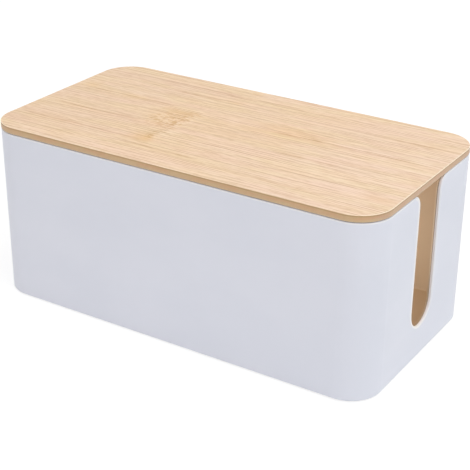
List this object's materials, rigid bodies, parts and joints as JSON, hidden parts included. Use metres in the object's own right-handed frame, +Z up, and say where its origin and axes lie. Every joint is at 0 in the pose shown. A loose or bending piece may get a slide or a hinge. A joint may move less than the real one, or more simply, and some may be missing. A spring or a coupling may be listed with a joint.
{
  "type": "cable management box",
  "caption": "Round-cornered box with a lift-off wooden lid and an open slot at each end, for hiding a power strip and its cables.",
  "frame": {"origin": "centre of the footprint, on the surface that the feet rest on", "axes": "+X along the length towards one cable slot, -Y out of the front long wall, +Z up through the lid"},
  "size_m": [0.32, 0.168, 0.139],
  "materials": {
    "white_shell": "satin moulded plastic",
    "tan_liner": "matt moulded plastic",
    "bamboo_panel": "satin lacquered bamboo, grain along X",
    "bamboo_rail": "sanded bamboo, grain along X",
    "screw_steel": "zinc plated",
    "foot_rubber": "matt grey rubber"
  },
  "bodies": {
    "box": {"outer_shell": "white_shell", "inner_liner": "tan_liner", "foot_front_left": "foot_rubber", "foot_front_right": "foot_rubber", "foot_rear_left": "foot_rubber", "foot_rear_right": "foot_rubber"},
    "lid": {"lid_panel": "bamboo_panel", "lid_rail_front": "bamboo_rail", "lid_rail_rear": "bamboo_rail", "rail_screws": "screw_steel"}
  },
  "joints": [
    {"name": "lid_lift", "type": "slide", "parent": "box", "child": "lid", "axis": [0, 0, 1], "range_m": [0, 0.06]}
  ]
}
